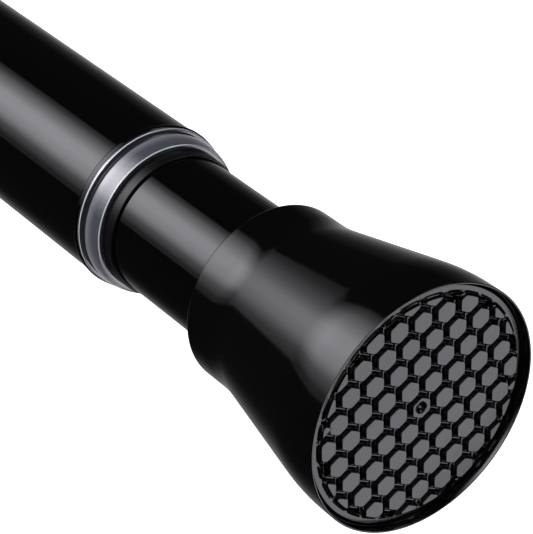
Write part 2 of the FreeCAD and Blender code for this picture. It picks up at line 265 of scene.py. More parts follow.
def graded(tree, value, stops):
    """Colour that follows a value through (value, colour) stops, eased where there are only two."""
    low, high = stops[0][0], stops[-1][0]
    share = add_node(tree, "MapRange", {"From Min": low, "From Max": high}, {"Value": value})
    ramp = add_node(tree, "ValToRGB", None, {"Fac": share.outputs["Result"]})
    ramp.color_ramp.interpolation = "EASE" if len(stops) < 3 else "LINEAR"
    while len(ramp.color_ramp.elements) < len(stops):
        ramp.color_ramp.elements.new(0.5)
    for element, (place, colour) in zip(ramp.color_ramp.elements, stops):
        element.position = (place - low) / (high - low)
        element.color = opaque(colour)
    return ramp.outputs["Color"]


def greys(levels):
    """Stops of plain brightness from (value, brightness) pairs."""
    return [(value, (level, level, level)) for value, level in levels]


def baked_black_enamel():
    """Black enamel, sprayed and baked on drawn steel tube."""
    # It gives a deep black with mirror-like highlights that waver a little with the spray's orange peel.
    values = {"Base Color": opaque(bpy.context.scene.rod_colours.enamel), "IOR": 1.5}
    material, tree, shader, place = new_material("baked_black_enamel_on_steel", values)
    peel = add_node(tree, "TexNoise", {"Scale": per(3.0), "Detail": 1.0}, {"Vector": place}).outputs["Fac"]
    gloss = add_node(tree, "MapRange", {"To Min": 0.02, "To Max": 0.05}, {"Value": peel})
    bump = add_node(tree, "Bump", {"Strength": 0.3, "Distance": 0.01 * MM}, {"Height": peel})
    feed(tree, shader, {"Roughness": gloss.outputs["Result"], "Normal": bump.outputs["Normal"]})
    return material


def moulded_black_abs():
    """Black ABS, injection moulded in a polished tool."""
    # It gives a black a little softer than the enamel, with the faint grain of the tool.
    # The grain is drawn 0.25 mm wide, coarser than the tool's own, so that it shows.
    values = {"Base Color": opaque(bpy.context.scene.rod_colours.moulded), "IOR": 1.5}
    material, tree, shader, place = new_material("moulded_black_abs", values)
    flow = add_node(tree, "TexNoise", {"Scale": per(6.0), "Detail": 2.0}, {"Vector": place}).outputs["Fac"]
    grain = add_node(tree, "TexNoise", {"Scale": per(0.25), "Detail": 2.0}, {"Vector": place}).outputs["Fac"]
    gloss = add_node(tree, "MapRange", {"To Min": 0.06, "To Max": 0.12}, {"Value": flow})
    bump = add_node(tree, "Bump", {"Strength": 0.3, "Distance": 0.001 * MM}, {"Height": grain})
    feed(tree, shader, {"Roughness": gloss.outputs["Result"], "Normal": bump.outputs["Normal"]})
    return material


def moulded_black_rubber():
    """Black thermoplastic rubber, moulded in a polished tool."""
    # It gives glossy flats that mirror the studio in an even, slightly cloudy grey beside deep black hollows.
    values = {"Base Color": opaque(bpy.context.scene.rod_colours.rubber), "IOR": 1.5}
    material, tree, shader, place = new_material("moulded_black_rubber", values)
    skin = add_node(tree, "TexNoise", {"Scale": per(0.5), "Detail": 2.0}, {"Vector": place}).outputs["Fac"]
    cloud = add_node(tree, "TexNoise", {"Scale": per(2.4), "Detail": 3.0}, {"Vector": place}).outputs["Fac"]
    gloss = add_node(tree, "MapRange", {"To Min": 0.07, "To Max": 0.14}, {"Value": cloud})
    bump = add_node(tree, "Bump", {"Strength": 0.3, "Distance": 0.004 * MM}, {"Height": skin})
    feed(tree, shader, {"Roughness": gloss.outputs["Result"], "Normal": bump.outputs["Normal"]})
    return material


# Bands of painted highlight, painted shade and painted glow on the collar's plastic along the rod
PAINTED_GLOW_LENGTH = 1.3 * MM
PAINTED_SHADE_MARGIN = 1 * MM
BAND_STEP = 0.01 * MM


def moulded_clear_plastic(painted_bead_highlight, nose_start, painted_lip_highlight):
    """Clear polypropylene, injection moulded, with painted light; the painted highlights on the bead and the
    lip are given by where they start and end.
    """
    # It gives a smoky, blue-grey clearness with a painted glow of lighter colour at the back of the nose,
    # painted highlights that make the thin bead and the lip look nearly white, painted shade in the groove
    # and on the front face, and faint streaks along the rod from the flow in the mould.
    colours = bpy.context.scene.rod_colours
    values = {
        "IOR": 1.49,
        "Transmission Weight": 0.45,
        "Coat Weight": 1.0,
        "Coat Roughness": 0.16,
        "Coat IOR": 1.75,
        "Sheen Weight": 0.35,
        "Sheen Roughness": 0.4,
    }
    material, tree, shader, place = new_material("moulded_clear_polypropylene", values)
    painted_glow_end = nose_start + PAINTED_GLOW_LENGTH
    bands = (
        (painted_bead_highlight[0] - PAINTED_SHADE_MARGIN, painted_bead_highlight[0], colours.painted_shade_clear, colours.painted_shade_clear),
        (painted_bead_highlight[0], painted_bead_highlight[1], colours.painted_highlight_clear, colours.painted_highlight_clear),
        (painted_bead_highlight[1], nose_start, colours.painted_shade_clear, colours.painted_shade_clear),
        (nose_start, painted_glow_end, colours.painted_glow_clear, colours.clear),
        (painted_glow_end, painted_lip_highlight[0], colours.clear, colours.clear),
        (painted_lip_highlight[0], painted_lip_highlight[1], colours.painted_highlight_clear, colours.painted_highlight_clear),
        (painted_lip_highlight[1], painted_lip_highlight[1] + PAINTED_SHADE_MARGIN + BAND_STEP, colours.painted_shade_clear, colours.painted_shade_clear),
    )
    stops = []
    for start, end, first_colour, last_colour in bands:
        stops += [(start, first_colour), (end - BAND_STEP, last_colour)]
    # The colour along the rod holds the painted highlights, the painted shade and the painted glow
    along = add_node(tree, "SeparateXYZ", None, {"Vector": place}).outputs["X"]
    shades = graded(tree, along, stops)
    drawn = add_node(tree, "Mapping", {"Scale": (0.25, 1, 1)}, {"Vector": place}).outputs["Vector"]
    flow = add_node(tree, "TexNoise", {"Scale": per(1.2), "Detail": 3.0}, {"Vector": drawn}).outputs["Fac"]
    gloss = add_node(tree, "MapRange", {"To Min": 0.12, "To Max": 0.26}, {"Value": flow})
    bump = add_node(tree, "Bump", {"Strength": 0.6, "Distance": 0.03 * MM}, {"Height": flow})
    surface = {"Roughness": gloss.outputs["Result"], "Normal": bump.outputs["Normal"]}
    feed(tree, shader, {"Base Color": shades, **surface})
    return material


def turned_black_acetal():
    """Black acetal, turned to a thin ring and left with the tool's fine rings."""
    # It gives a dull satin band, darker than the enamel beside it, with one thin bright edge.
    # The tool's rings are drawn 0.2 mm apart, coarser than real ones, so that they show.
    colours = bpy.context.scene.rod_colours
    values = {"Base Color": opaque(colours.acetal), "IOR": 1.48, "Specular IOR Level": 0.3}
    material, tree, shader, place = new_material("turned_black_acetal", values)
    along = add_node(tree, "Mapping", {"Scale": (1, 0.05, 0.05)}, {"Vector": place}).outputs["Vector"]
    rings = add_node(tree, "TexNoise", {"Scale": per(0.2), "Detail": 2.0}, {"Vector": along}).outputs["Fac"]
    gloss = add_node(tree, "MapRange", {"To Min": 0.22, "To Max": 0.34}, {"Value": rings})
    bump = add_node(tree, "Bump", {"Strength": 0.3, "Distance": 0.004 * MM}, {"Height": rings})
    feed(tree, shader, {"Roughness": gloss.outputs["Result"], "Normal": bump.outputs["Normal"]})
    return material


def moulded_nylon(name, colour, rough):
    """Nylon, injection moulded and left as it comes from the tool."""
    # It gives a waxy, slightly clouded surface with a satin grain.
    waxy_depth = (0.8 * MM, 0.7 * MM, 0.5 * MM)
    values = {"IOR": 1.53, "Subsurface Weight": 0.05, "Subsurface Radius": waxy_depth}
    material, tree, shader, place = new_material(name, values)
    cloud = add_node(tree, "TexNoise", {"Scale": per(5.0), "Detail": 3.0}, {"Vector": place}).outputs["Fac"]
    grain = add_node(tree, "TexNoise", {"Scale": per(0.3), "Detail": 2.0}, {"Vector": place}).outputs["Fac"]
    pair = {"A": opaque([part * 0.92 for part in colour]), "B": opaque(colour)}
    shades = add_node(tree, "Mix", pair, {"Factor": cloud}, data_type="RGBA").outputs["Result"]
    gloss = add_node(tree, "MapRange", {"To Min": rough, "To Max": rough + 0.1}, {"Value": cloud})
    bump = add_node(tree, "Bump", {"Strength": 0.4, "Distance": 0.005 * MM}, {"Height": grain})
    surface = {"Roughness": gloss.outputs["Result"], "Normal": bump.outputs["Normal"]}
    feed(tree, shader, {"Base Color": shades, **surface})
    return material


def plated_steel(name, colour, stretch, rough):
    """Steel wire, bar or sheet with a thin bright plate or oil."""
    # It gives a metal with fine marks along its length and cloudy patches of duller plate.
    # The marks are drawn 0.15 mm wide, coarser than real ones, so that they show.
    material, tree, shader, place = new_material(name, {"Metallic": 1.0})
    cloud = add_node(tree, "TexNoise", {"Scale": per(2.5), "Detail": 3.0}, {"Vector": place}).outputs["Fac"]
    along = add_node(tree, "Mapping", {"Scale": stretch}, {"Vector": place}).outputs["Vector"]
    marks = add_node(tree, "TexNoise", {"Scale": per(0.15), "Detail": 2.0}, {"Vector": along}).outputs["Fac"]
    pair = {"A": opaque([part * 0.8 for part in colour]), "B": opaque(colour)}
    shades = add_node(tree, "Mix", pair, {"Factor": cloud}, data_type="RGBA").outputs["Result"]
    gloss = add_node(tree, "MapRange", {"To Min": rough, "To Max": rough + 0.15}, {"Value": cloud})
    bump = add_node(tree, "Bump", {"Strength": 0.3, "Distance": 0.004 * MM}, {"Height": marks})
    surface = {"Roughness": gloss.outputs["Result"], "Normal": bump.outputs["Normal"]}
    feed(tree, shader, {"Base Color": shades, **surface})
    return material


# Places on a foot, from the rim's plane at x = 0 with the foot behind it
FOOT_LENGTH = 29.95 * MM
NECK_WALLS = {"inner": 2.52 * MM, "outer": 1.5 * MM}
PAD_SEAT = 2.4 * MM
PAD_FLOOR = 0.95 * MM
RECESS_DRAFT = 0.39 * MM
WEB_THICKNESS = 2.0 * MM
FOOT_WALL = 1.8 * MM
BOSS_BORE = 4.6 * MM
BOSS_WALL = 1.3 * MM
SCREW_HOLE = 1.75 * MM
RIBS = 6
HALF_RIB = 0.6 * MM

# Rounds of the edges
TINY_EDGE = 0.04 * MM
SMALL_EDGE = 0.1 * MM
SOFT_EDGE = 0.12 * MM
SOCKET_EDGE = 0.15 * MM
LIP_EDGE = 0.16 * MM
SPIGOT_EDGE = 0.2 * MM
WEB_EDGE = 0.3 * MM
NECK_EDGE = 0.4 * MM
FOOT_EDGE_STEPS = 8

# Gaps between pieces that fit in one another
FINE_GAP = 0.02 * MM
BORE_GAP = 0.05 * MM
SPIGOT_GAP = 0.08 * MM

# The rolled mouth of the large tube: its end stands this share of the roll's height above the tube
MOUTH_SHARE = 0.25
ROLL_STEPS = 16

# The collar: steps down to its nose and lip, and where the painted highlights on its bead and lip start and
# stop
NOSE_DROP = 0.35 * MM
LIP_DROP = 0.45 * MM
NOSE_STEPS = 12
BEAD_PAINTED_HIGHLIGHT = (0.32 * MM, 0.08 * MM)
LIP_PAINTED_HIGHLIGHT = (0.16 * MM, 0.01 * MM)


def foot_places():
    """For each foot: the first word of its nodes, its body and its place."""
    rod_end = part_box("inner_end_cap")[1].x
    return (
        ("inner", "small_tube", Matrix.Translation((rod_end, 0, 0))),
        ("outer", "large_tube", Matrix.Rotation(math.pi, 4, "Z")),
    )


def swelling(start, end, swell, steps):
    """Points between two (x, radius) places, on a line that swells outwards between them."""
    points = []
    for step in range(1, steps):
        share = step / steps
        radius = start[1] + (end[1] - start[1]) * share + swell * 4 * share * (1 - share)
        points.append((start[0] + (end[0] - start[0]) * share, radius, 0))
    return points


class ROD_OT_tubes(bpy.types.Operator):
    """Makes the large tube, with its rolled mouth, and the small tube"""

    bl_idname = "rod.tubes"
    bl_label = "Tubes"

    def execute(self, context):
        sizes = context.scene.rod_sizes
        enamel = baked_black_enamel()
        low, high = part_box("outer_tube")
        surface = sizes.outer_radius
        bore = surface - sizes.outer_wall
        start = high.x - sizes.roll_length
        mouth = surface + sizes.roll_height * MOUTH_SHARE
        swell = sizes.roll_height * (1 - MOUTH_SHARE / 2)
        corners = [(low.x, bore, SMALL_EDGE), (low.x, surface, SMALL_EDGE), (start, surface, 0)]
        corners += swelling((start, surface), (high.x, mouth), swell, ROLL_STEPS)
        corners += [(high.x, mouth, 0), (high.x, bore, SMALL_EDGE)]
        mesh = bmesh.new()
        turn_outline(mesh, rounded(corners))
        finish_piece(mesh, "large_tube_enamelled", enamel, "large_tube", ["outer_tube"])
        low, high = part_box("inner_tube")
        bore = high.z - sizes.inner_wall
        corners = [(low.x, bore), (low.x, high.z), (high.x, high.z), (high.x, bore)]
        mesh = bmesh.new()
        turn_outline(mesh, rounded([(*corner, SMALL_EDGE) for corner in corners]))
        finish_piece(mesh, "small_tube_enamelled", enamel, "small_tube", ["inner_tube"])
        return {"FINISHED"}


class ROD_OT_collar(bpy.types.Operator):
    """Makes the clear collar in the large tube's mouth and the wiper ring in its front"""

    bl_idname = "rod.collar"
    bl_label = "Collar and wiper ring"

    def execute(self, context):
        sizes = context.scene.rod_sizes
        low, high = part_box("clear_collar")
        wiper_low, wiper_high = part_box("wiper_ring")
        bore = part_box("inner_tube")[1].z + BORE_GAP
        sleeve = sizes.outer_radius - sizes.outer_wall - FINE_GAP
        seat = wiper_high.z + FINE_GAP
        bead = high.z
        bead_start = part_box("outer_tube")[1].x + FINE_GAP
        bead_end = bead_start + sizes.bead_length
        groove = bead - sizes.groove_depth
        nose_start = bead_end + sizes.groove_length
        nose = bead - NOSE_DROP
        lip = nose - LIP_DROP
        # The swell's last two points would lie in the lip's round, so they are left out
        swell = swelling((nose_start, nose), (high.x, lip), sizes.nose_swell, NOSE_STEPS)[:-2]
        corners = [
            (low.x, bore, SMALL_EDGE),
            (low.x, sleeve, SMALL_EDGE),
            (bead_start, sleeve, 0),
            (bead_start, bead, SMALL_EDGE),
            (bead_end, bead, SMALL_EDGE),
            (bead_end, groove, TINY_EDGE),
            (nose_start, groove, TINY_EDGE),
            (nose_start, nose, TINY_EDGE),
            *swell,
            (high.x, lip, LIP_EDGE),
            (high.x, seat, TINY_EDGE),
            (wiper_low.x, seat, 0),
            (wiper_low.x, bore, TINY_EDGE),
        ]
        mesh = bmesh.new()
        turn_outline(mesh, rounded(corners))
        # Where the painted highlights lie on the bead and the lip
        painted_bead_highlight = (bead_start + BEAD_PAINTED_HIGHLIGHT[0], bead_end - BEAD_PAINTED_HIGHLIGHT[1])
        painted_lip_highlight = (high.x - LIP_PAINTED_HIGHLIGHT[0], high.x - LIP_PAINTED_HIGHLIGHT[1])
        clear = moulded_clear_plastic(painted_bead_highlight, nose_start, painted_lip_highlight)
        finish_piece(mesh, "clear_collar_moulded", clear, "large_tube", ["clear_collar"])
        corners = [
            (wiper_low.x, bore, TINY_EDGE),
            (wiper_low.x, wiper_high.z, TINY_EDGE),
            (wiper_high.x, wiper_high.z, SOFT_EDGE),
            (wiper_high.x, bore, TINY_EDGE),
        ]
        mesh = bmesh.new()
        turn_outline(mesh, rounded(corners))
        black = turned_black_acetal()
        finish_piece(mesh, "wiper_ring_turned", black, "large_tube", ["wiper_ring"])
        return {"FINISHED"}


class ROD_OT_feet(bpy.types.Operator):
    """Makes the flared foot at each end"""

    bl_idname = "rod.feet"
    bl_label = "Flared feet"

    def execute(self, context):
        sizes = context.scene.rod_sizes
        plastic = moulded_black_abs()
        slope = math.tan(sizes.flare_angle)
        web_back = sizes.neck_length - FOOT_LENGTH
        web_front = web_back + WEB_THICKNESS
        boss = BOSS_BORE + BOSS_WALL
        for end, body, place in foot_places():
            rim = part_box(end + "_end_cap")[1].z
            tube_radius = {"inner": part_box("inner_tube")[1].z, "outer": sizes.outer_radius}[end]
            neck = tube_radius + NECK_WALLS[end]
            socket = tube_radius + FINE_GAP
            recess_mouth = rim - sizes.rim_lip
            recess = recess_mouth - RECESS_DRAFT
            cone_end = -SMALL_EDGE - sizes.rim_land - sizes.flare_rim * math.tan(sizes.flare_angle / 2)
            cone_start = cone_end - (rim - neck) / slope
            back = rim - (cone_end - web_front) * slope - FOOT_WALL
            front = rim - FOOT_WALL
            corners = [
                (-FOOT_LENGTH, socket, SOCKET_EDGE),
                (-FOOT_LENGTH, neck, NECK_EDGE),
                (cone_start, neck, sizes.flare_root),
                (cone_end, rim, sizes.flare_rim),
                (0, rim, SMALL_EDGE),
                (0, recess_mouth, TINY_EDGE),
                (-PAD_FLOOR, recess, 0),
                (-PAD_SEAT, recess, SMALL_EDGE),
                (-PAD_SEAT, front, SMALL_EDGE),
                (web_front, back, WEB_EDGE),
                (web_front, boss, WEB_EDGE),
                (-PAD_SEAT, boss, SMALL_EDGE),
                (-PAD_SEAT, BOSS_BORE, SMALL_EDGE),
                (web_front, BOSS_BORE, SMALL_EDGE),
                (web_front, SCREW_HOLE, SMALL_EDGE),
                (web_back, SCREW_HOLE, SMALL_EDGE),
                (web_back, socket, SMALL_EDGE),
            ]
            mesh = bmesh.new()
            turn_outline(mesh, rounded(corners, FOOT_EDGE_STEPS))
            # The ribs reach into the boss and into the wall, so that no gap is left
            inside = boss - BOSS_WALL / 2
            outside = ((web_front, back + FOOT_WALL / 4), (-PAD_SEAT, front + FOOT_WALL / 4))
            for number in range(RIBS):
                turn = Matrix.Rotation(2 * math.pi / RIBS * number, 3, "X")
                ends = []
                for x, reach in outside:
                    for side, z in ((-1, inside), (1, inside), (1, reach), (-1, reach)):
                        ends.append(turn @ Vector((x, side * HALF_RIB, z)))
                block(mesh, ends)
            name = end + "_foot_moulded"
            finish_piece(mesh, name, plastic, body, [end + "_end_cap"], place)
        return {"FINISHED"}


# The posts: hollow grooves between them, their roots in the disc, and how squarely their corners turn
GROOVE_DIP = 0.3 * MM
GROOVE_RISE = 0.5 * MM
ROOT_DEPTH = 0.3 * MM
POST_BEVEL = 0.06 * MM
FLAT_INSET = 0.05 * MM
POST_SIDES = 36
HOLLOW_STEPS = 7
BEVEL_STEPS = 4
POST_CORNER = 22
GROOVE_CORNER = 60

# A post whose centre lies further out of the round field than this share of its width is left out
LEAST_SHARE = 0.49
# Samples over a post on each side of its centre, and how far past its flats they reach
MIDDLE_STEPS = 24
CORNER_REACH = 1.2

# The disc: how far its floor lies under the posts' own, and the spigot at its back
FLOOR_GAP = 0.005 * MM
SPIGOT_DEPTH = 1.5 * MM

# The moulding gate in the middle post, from its edge inwards, as (radius, depth) in millimetres
GATE_DEPTH = 0.4
GATE_DIMPLE = (
    (0.8, 0),
    (0.74, 0.01),
    (0.66, 0.04),
    (0.58, 0.1),
    (0.48, 0.2),
    (0.36, 0.3),
    (0.22, 0.37),
    (0.08, GATE_DEPTH),
)


def outward(swing):
    """Direction at an angle in the plane of a foot's face."""
    return Vector((math.cos(swing), math.sin(swing)))


def post_flats(turn):
    """Outward directions of a post's six flats."""
    return [outward(turn + math.pi / 3 * number) for number in range(6)]


def ray_reach(direction, shift, half_width, flats, field_centre, field, power):
    """Distance from a point in a post to its edge: six flats and the round field, with rounded corners."""
    total = 0.0
    for normal in flats:
        gap = half_width - shift.dot(normal)
        total += max(0.0, direction.dot(normal) / gap) ** power
    inward = field_centre.dot(direction)
    reach = -inward + math.sqrt(max(0.0, inward ** 2 - field_centre.length_squared + field ** 2))
    total += (1 / reach) ** power
    return total ** (-1 / power)


def clipped_middle(centre, half_width, flats, field):
    """Middle of the part of a post that is inside the round field."""
    inside = []
    for row in range(-MIDDLE_STEPS, MIDDLE_STEPS + 1):
        for column in range(-MIDDLE_STEPS, MIDDLE_STEPS + 1):
            offset = Vector((row, column)) * half_width * CORNER_REACH / MIDDLE_STEPS
            fits = all(offset.dot(normal) < half_width for normal in flats)
            if fits and (centre + offset).length < field:
                inside.append(centre + offset)
    return sum(inside, Vector((0, 0))) / len(inside) if inside else None


def groove_floor(distance, field, groove):
    """Height of the pad's floor at a distance from its centre: it is a little deeper between the posts."""
    share = min(1.0, max(0.0, (distance - field) / groove + 0.5))
    return -PAD_FLOOR - GROOVE_DIP * (1 - share)


def post_rings(middle, centre, sizes, field):
    """Rings of one post, from its root in the disc, up the hollow of the groove round it, to its top."""
    half = sizes.post_width / 2
    groove = sizes.post_pitch / 2 - half
    top = sizes.post_height - PAD_FLOOR
    turn = sizes.post_turn
    flats = post_flats(turn)
    directions = [outward(turn + 2 * math.pi * number / POST_SIDES) for number in range(POST_SIDES)]
    shift = middle - centre

    def reaches(inset, power=POST_CORNER):
        """Distance in every direction to the line that lies so far inside the post's edge."""
        return [ray_reach(d, shift, half - inset, flats, middle, field - inset, power) for d in directions]

    border = reaches(-groove, GROOVE_CORNER)
    distances = [(middle + d * reach).length for d, reach in zip(directions, border)]
    floors = [groove_floor(distance, field, groove) for distance in distances]
    wall = reaches(0.0)
    rings = [[(-PAD_FLOOR - GROOVE_DIP - ROOT_DEPTH, reach) for reach in border]]
    for step in range(HOLLOW_STEPS + 1):
        swing = math.pi / 2 * step / HOLLOW_STEPS
        rise = GROOVE_RISE * (1 - math.cos(swing))
        rings.append([(f + rise, b + (w - b) * math.sin(swing)) for f, b, w in zip(floors, border, wall)])
    for step in range(BEVEL_STEPS + 1):
        swing = math.pi / 2 * step / BEVEL_STEPS
        height = top - POST_BEVEL + POST_BEVEL * math.sin(swing)
        rings.append([(height, reach) for reach in reaches(POST_BEVEL * (1 - math.cos(swing)))])
    rings.append([(top, reach) for reach in reaches(POST_BEVEL + FLAT_INSET)])
    placed = []
    for ring in rings:
        placed.append([(x, *(middle + d * reach)) for d, (x, reach) in zip(directions, ring)])
    return placed, directions, top


class ROD_OT_grip_pads(bpy.types.Operator):
    """Makes the rubber pad with its honeycomb of posts in each foot"""

    bl_idname = "rod.grip_pads"
    bl_label = "Grip pads"

    def execute(self, context):
        sizes = context.scene.rod_sizes
        rubber = moulded_black_rubber()
        half_groove = (sizes.post_pitch - sizes.post_width) / 4
        floor = -PAD_FLOOR - FLOOR_GAP
        spigot = BOSS_BORE - SPIGOT_GAP
        for end, body, place in foot_places():
            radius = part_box(end + "_grip_pad")[1].z
            field = radius - sizes.pad_border
            mesh = bmesh.new()
            self.add_posts(mesh, sizes, field)
            corners = [
                (floor - GROOVE_DIP, 0, 0),
                (floor - GROOVE_DIP, field - half_groove, 0),
                (floor, field + half_groove, 0),
                (floor, radius, SOFT_EDGE),
                (-PAD_SEAT, radius, SOFT_EDGE),
                (-PAD_SEAT, spigot, SMALL_EDGE),
                (-PAD_SEAT - SPIGOT_DEPTH, spigot, SPIGOT_EDGE),
                (-PAD_SEAT - SPIGOT_DEPTH, 0, 0),
            ]
            turn_outline(mesh, rounded(corners), PAD_ROUND_STEPS)
            name = end + "_pad_moulded"
            finish_piece(mesh, name, rubber, body, [end + "_grip_pad"], place)
        return {"FINISHED"}

    def add_posts(self, mesh, sizes, field):
        """Every post that is at least partly in the round field, with a moulding gate in the middle one."""
        reach = math.ceil(field / sizes.post_pitch) + 1
        turn = Matrix.Rotation(sizes.post_turn, 2)
        half = sizes.post_width / 2
        flats = post_flats(sizes.post_turn)
        for row in range(-reach, reach + 1):
            for column in range(-reach, reach + 1):
                across = sizes.post_pitch * (column + row / 2)
                up = sizes.post_pitch * row * math.sqrt(3) / 2
                centre = turn @ Vector((across, up))
                if centre.length > field + sizes.post_width * LEAST_SHARE:
                    continue
                whole = centre.length + sizes.post_width / math.sqrt(3) < field
                middle = centre if whole else clipped_middle(centre, half, flats, field)
                if middle is None:
                    continue
                rings, directions, top = post_rings(middle, centre, sizes, field)
                if centre.length < half:
                    for radius, depth in GATE_DIMPLE:
                        rings.append([(top - depth * MM, *(d * radius * MM)) for d in directions])
                    rings.append([(top - GATE_DEPTH * MM, 0, 0)])
                else:
                    rings.append([(top, *middle)])
                ring_strip(mesh, rings)
                mesh.faces.new([mesh.verts.new(point) for point in rings[0]])


# The spring: steps in a turn, sides of its wire, and its closed end turns with their share of the pitch
STEPS_PER_TURN = 56
WIRE_SIDES = 14
CLOSED_TURNS = 1.0
CLOSED_PITCH = 0.25


class ROD_OT_spring(bpy.types.Operator):
    """Winds the compression spring in the small tube"""

    bl_idname = "rod.spring"
    bl_label = "Compression spring"

    def execute(self, context):
        sizes = context.scene.rod_sizes
        wire = sizes.spring_wire / 2
        low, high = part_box("compression_spring")
        coil = (high.z - low.z) / 2 - wire
        start, end = low.x + wire, high.x - wire
        turns = sizes.spring_turns
        steps = STEPS_PER_TURN * turns
        rings = []
        for step in range(steps + 1):
            wound = turns * step / steps
            turned = 2 * math.pi * wound
            away = Vector((0, math.sin(turned), math.cos(turned)))
            middle = Vector((start + (end - start) * self.climb(wound, turns), 0, 0)) + away * coil
            ring = []
            for side in range(WIRE_SIDES):
                around = 2 * math.pi * side / WIRE_SIDES
                offset = away * math.cos(around) + Vector((1, 0, 0)) * math.sin(around)
                ring.append(middle + offset * wire)
            rings.append(ring)
        mesh = bmesh.new()
        ring_strip(mesh, rings)
        for cap in (rings[0], rings[-1]):
            mesh.faces.new([mesh.verts.new(point) for point in cap])
        bmesh.ops.remove_doubles(mesh, verts=mesh.verts, dist=SAME_PLACE)
        steel = plated_steel("drawn_spring_steel", context.scene.rod_colours.spring, (0.2, 1, 1), 0.28)
        replaced = ["compression_spring"]
        spring = finish_piece(mesh, "spring_wound", steel, "small_tube", replaced)
        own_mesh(spring)
        return {"FINISHED"}

    def climb(self, wound, turns):
        """Share of the spring's length at a turn: the end turns lie almost flat, the rest is open."""
        pitch = 1 / (turns - 2 * CLOSED_TURNS * (1 - CLOSED_PITCH))
        if wound < CLOSED_TURNS:
            return wound * pitch * CLOSED_PITCH
        if wound > turns - CLOSED_TURNS:
            return 1 - (turns - wound) * pitch * CLOSED_PITCH
        return CLOSED_TURNS * pitch * CLOSED_PITCH + (wound - CLOSED_TURNS) * pitch


class ROD_OT_inside(bpy.types.Operator):
    """Gives the pieces inside the tubes their materials"""

    bl_idname = "rod.inside"
    bl_label = "Pieces inside"

    def execute(self, context):
        colours = context.scene.rod_colours
        natural = moulded_nylon("moulded_natural_nylon", colours.natural_nylon, 0.38)
        dark = moulded_nylon("moulded_dark_nylon", colours.dark_nylon, 0.42)
        zinc = plated_steel("zinc_plated_steel", colours.zinc, (0.15, 1, 1), 0.22)
        zinc_plated = ("outer_cap_screw", "inner_cap_screw", "cam_washer", "cam_screw")
        zinc_plated += ("spring_rod", "rod_washer", "rod_nut")
        finishes = {
            natural: ("outer_tube_plug", "inner_tube_plug", "cam_ring", "cam_core"),
            dark: ("guide_bush", "spring_stop"),
            zinc: zinc_plated,
        }
        for material, names in finishes.items():
            for name in names:
                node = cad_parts[name]
                node.data.materials.clear()
                node.data.materials.append(material)
        return {"FINISHED"}


# Studio

FLOOR_DROP = 0.45
FLOOR_REACH = 30.0
FLOOR_CELLS = 8

# Camera above and beside the foot on the small tube, fitted to the round edges that the photograph shows
LENS, SENSOR, CAMERA_NEAR = 158.65, 36.0, 0.01
CAMERA_PLACE = Vector((0.5844, -0.1415, 0.1534))
CAMERA_RIGHT = Vector((0.588, 0.8087, 0.0))
CAMERA_BACK = Vector((0.6866, -0.4992, 0.528))

# Fill lamps low in front of the foot's face, one for the rod at rest and one for the rod drawn out
FOOT_POINT = Vector((0.42, 0, 0))
DRAWN_OUT = Vector((0.24, 0, 0))
FILL_AWAY = Vector((0.687, 0.499, -0.528)) * 0.36
FILL_SIZE = (0.2, 0.2)
FILL_RADIANCE = 2.45
FILL_COLOUR = (0.985, 0.96, 1.04)

# Lamp behind the rod, aimed at its middle
BACK_PLACE = Vector((0.9, 0.75, 0.8))
ROD_MIDDLE = Vector((0.21, 0, 0))
BACK_SIZE = (0.9, 0.5)
BACK_RADIANCE = 2.0

# Softbox beside the rod: where it faces, its short side's direction, and its place
SOFTBOX_FACING = Vector((0, -0.6866, 0.7267))
SOFTBOX_SHORT = Vector((0, -0.7267, -0.6867))
SOFTBOX_TARGET = Vector((-0.8, 0, 0)) + SOFTBOX_SHORT * 0.11
SOFTBOX_DISTANCE = 0.6
SOFTBOX_SIZE = (3.2, 2.32)
SOFTBOX_RADIANCE = 4.8
SOFTBOX_COLOUR = (0.98, 0.955, 1.02)

# Brightness as (place, share of the full brightness) across the softbox and along it, in metres
SOFTBOX_ACROSS = (
    (-0.53, 0.0),
    (-0.51, 0.05),
    (-0.405, 0.15),
    (-0.242, 0.53),
    (-0.106, 0.96),
    (0.0, 1.0),
    (0.15, 0.77),
    (0.293, 0.24),
    (0.469, 0.055),
    (0.86, 0.035),
    (0.88, 0.0),
)
SOFTBOX_ALONG = ((-2.4, 0.2), (-1.5, 0.3), (-0.95, 0.42), (-0.6, 0.68), (-0.33, 1.0), (0.75, 1.0), (0.8, 0.0))

# The softbox's bright band widens to three times towards its far end, by the place along the rod
SOFTBOX_WIDTHS = {"From Min": -0.8, "From Max": -2.4, "To Min": 1.0, "To Max": 3.0}

# The card that only the gloss sees, glowing as a painted reflection: its radius round the rod, its ends along
# it, and its reach round it in degrees
CARD_RADIUS = 0.3
CARD_ENDS = (-1.1, 1.2)
CARD_SPAN = (-183, 21)
CARD_STEPS = 48

# Brightness of the card by the angle round the rod, in degrees: -90 is straight below, 0 behind
CARD_SHADES = (
    (-180, 0.015),
    (-112, 0.015),
    (-104.7, 0.022),
    (-92.6, 0.065),
    (-81, 0.16),
    (-69, 0.23),
    (-57, 0.37),
    (-46, 0.42),
    (-32, 0.4),
    (-20.5, 0.29),
    (-8.6, 0.15),
    (3.4, 0.06),
    (20, 0.015),
)

# Brightness of the card along the rod, and of the surroundings from left to right
CARD_ALONG = ((0.2, 1.0), (0.4, 0.05))
SURROUNDINGS = ((-0.3, 0.012), (0.6, 0.1))


def stage_piece(mesh, name, material_name):
    """Makes a piece of the stage from a mesh, with a new material that lights nothing."""
    data = bpy.data.meshes.new(name)
    mesh.to_mesh(data)
    mesh.free()
    piece = bpy.data.objects.new(name, data)
    bpy.context.scene.collection.objects.link(piece)
    material = bpy.data.materials.new(material_name)
    material.use_nodes = True
    material.cycles.emission_sampling = "NONE"
    data.materials.append(material)
    return piece, material


